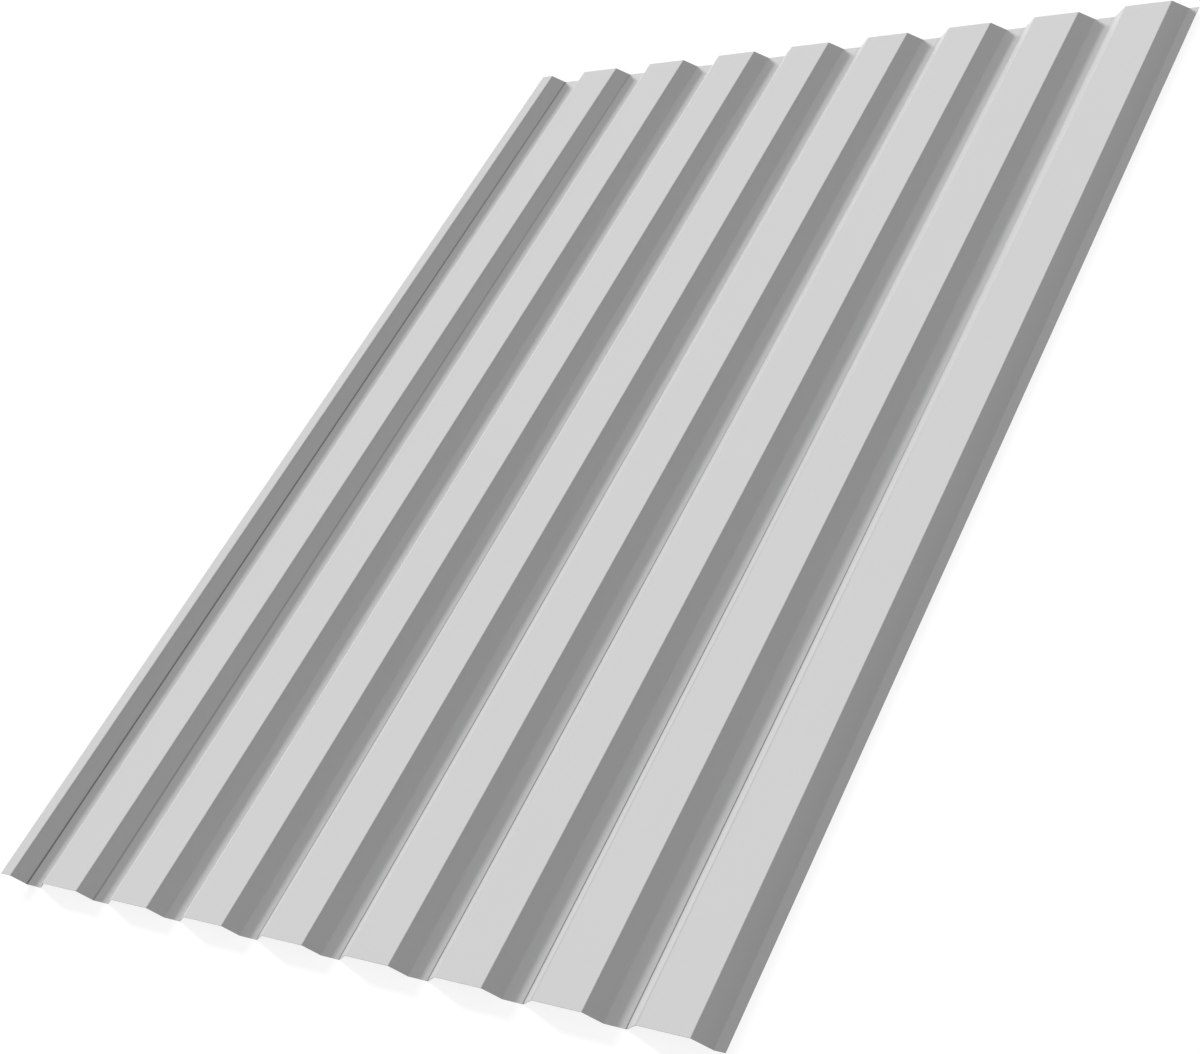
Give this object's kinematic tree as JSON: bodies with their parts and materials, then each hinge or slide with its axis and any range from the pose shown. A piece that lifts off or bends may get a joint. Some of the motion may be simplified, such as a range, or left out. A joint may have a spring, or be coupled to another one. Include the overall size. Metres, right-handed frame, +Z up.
{
  "type": "corrugated metal sheet",
  "caption": "Trapezoidal ribbed metal sheet, one roll-formed piece, for covering roofs and walls; flat crests and narrow valleys.",
  "frame": {"origin": "middle of the underside: centre of the bounding box at the level on which the valleys rest", "axes": "+Y along the ribs, +X across the ribs from the narrow crest edge to the narrow valley edge, +Z up, crests uppermost"},
  "size_m": [1.154, 1.6134, 0.016],
  "materials": {
    "sheet_coating": "matte light grey coating"
  },
  "bodies": {
    "root": {"corrugated_sheet": "sheet_coating"}
  },
  "joints": []
}
